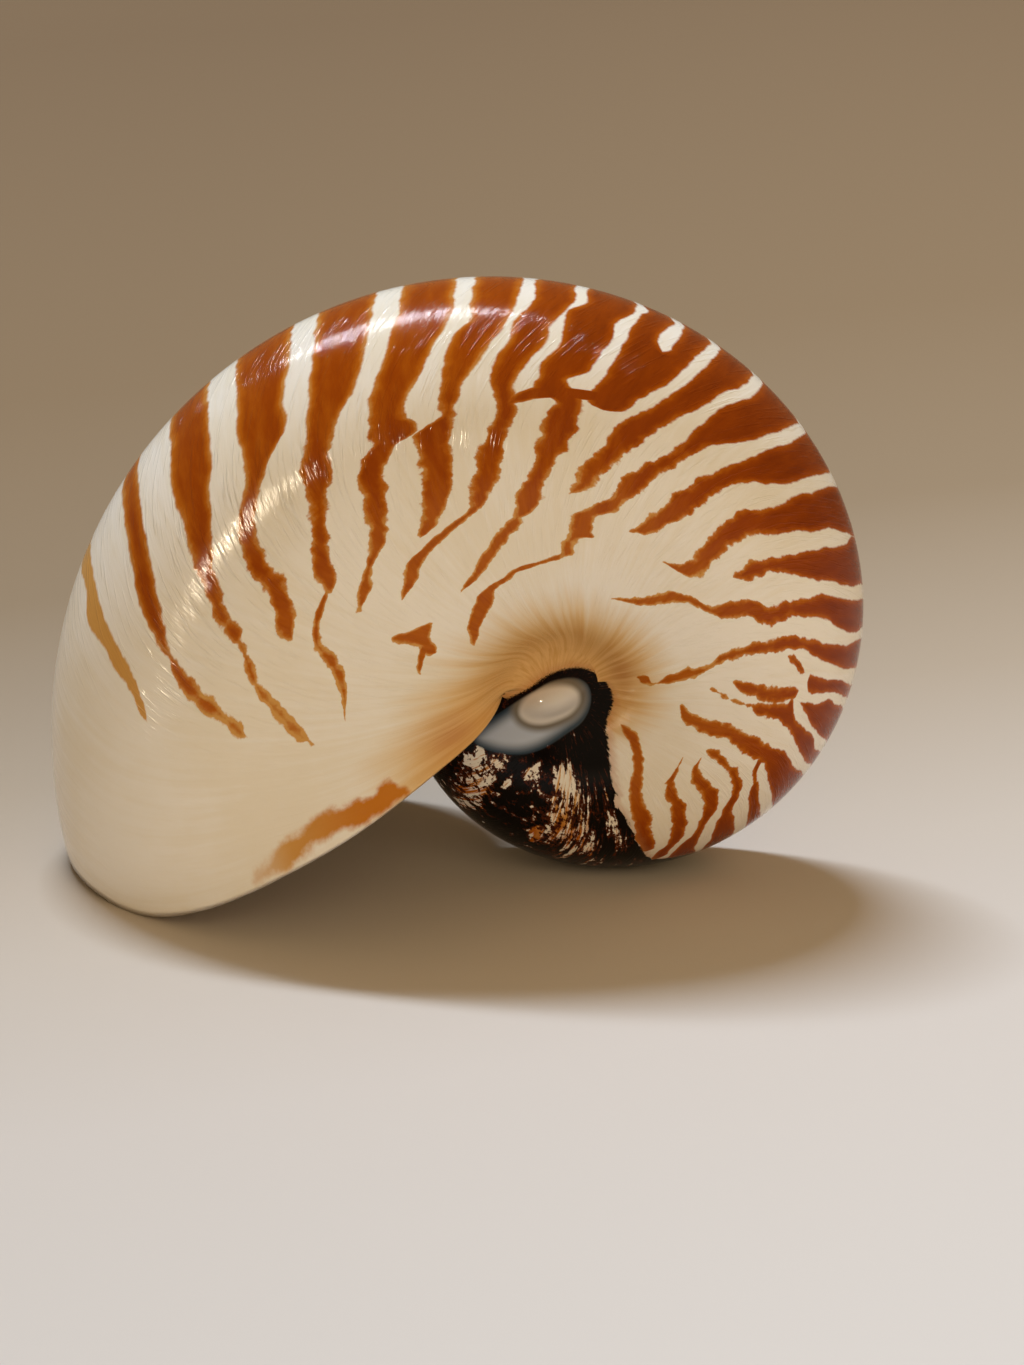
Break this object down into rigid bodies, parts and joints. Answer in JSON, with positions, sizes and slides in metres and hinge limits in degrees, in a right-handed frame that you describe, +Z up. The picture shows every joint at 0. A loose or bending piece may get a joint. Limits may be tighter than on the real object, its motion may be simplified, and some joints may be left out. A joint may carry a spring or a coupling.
{
  "type": "nautilus shell",
  "caption": "Coiled nautilus shell with rust-brown tiger stripes on cream, a callus in the umbilicus and an open body chamber; stands on its lip and outer curve.",
  "frame": {"origin": "middle of the shell's footprint box, on the surface it stands on", "axes": "+Z up, coiling axis along Y, plane of symmetry y = 0, mouth at -X facing down, whorl growing counterclockwise seen from -Y"},
  "size_m": [0.1522, 0.0798, 0.1141],
  "materials": {
    "shell": "polished porcelain-like shell, cream with rust-brown stripes"
  },
  "bodies": {
    "root": {"shell": "shell"}
  },
  "joints": []
}
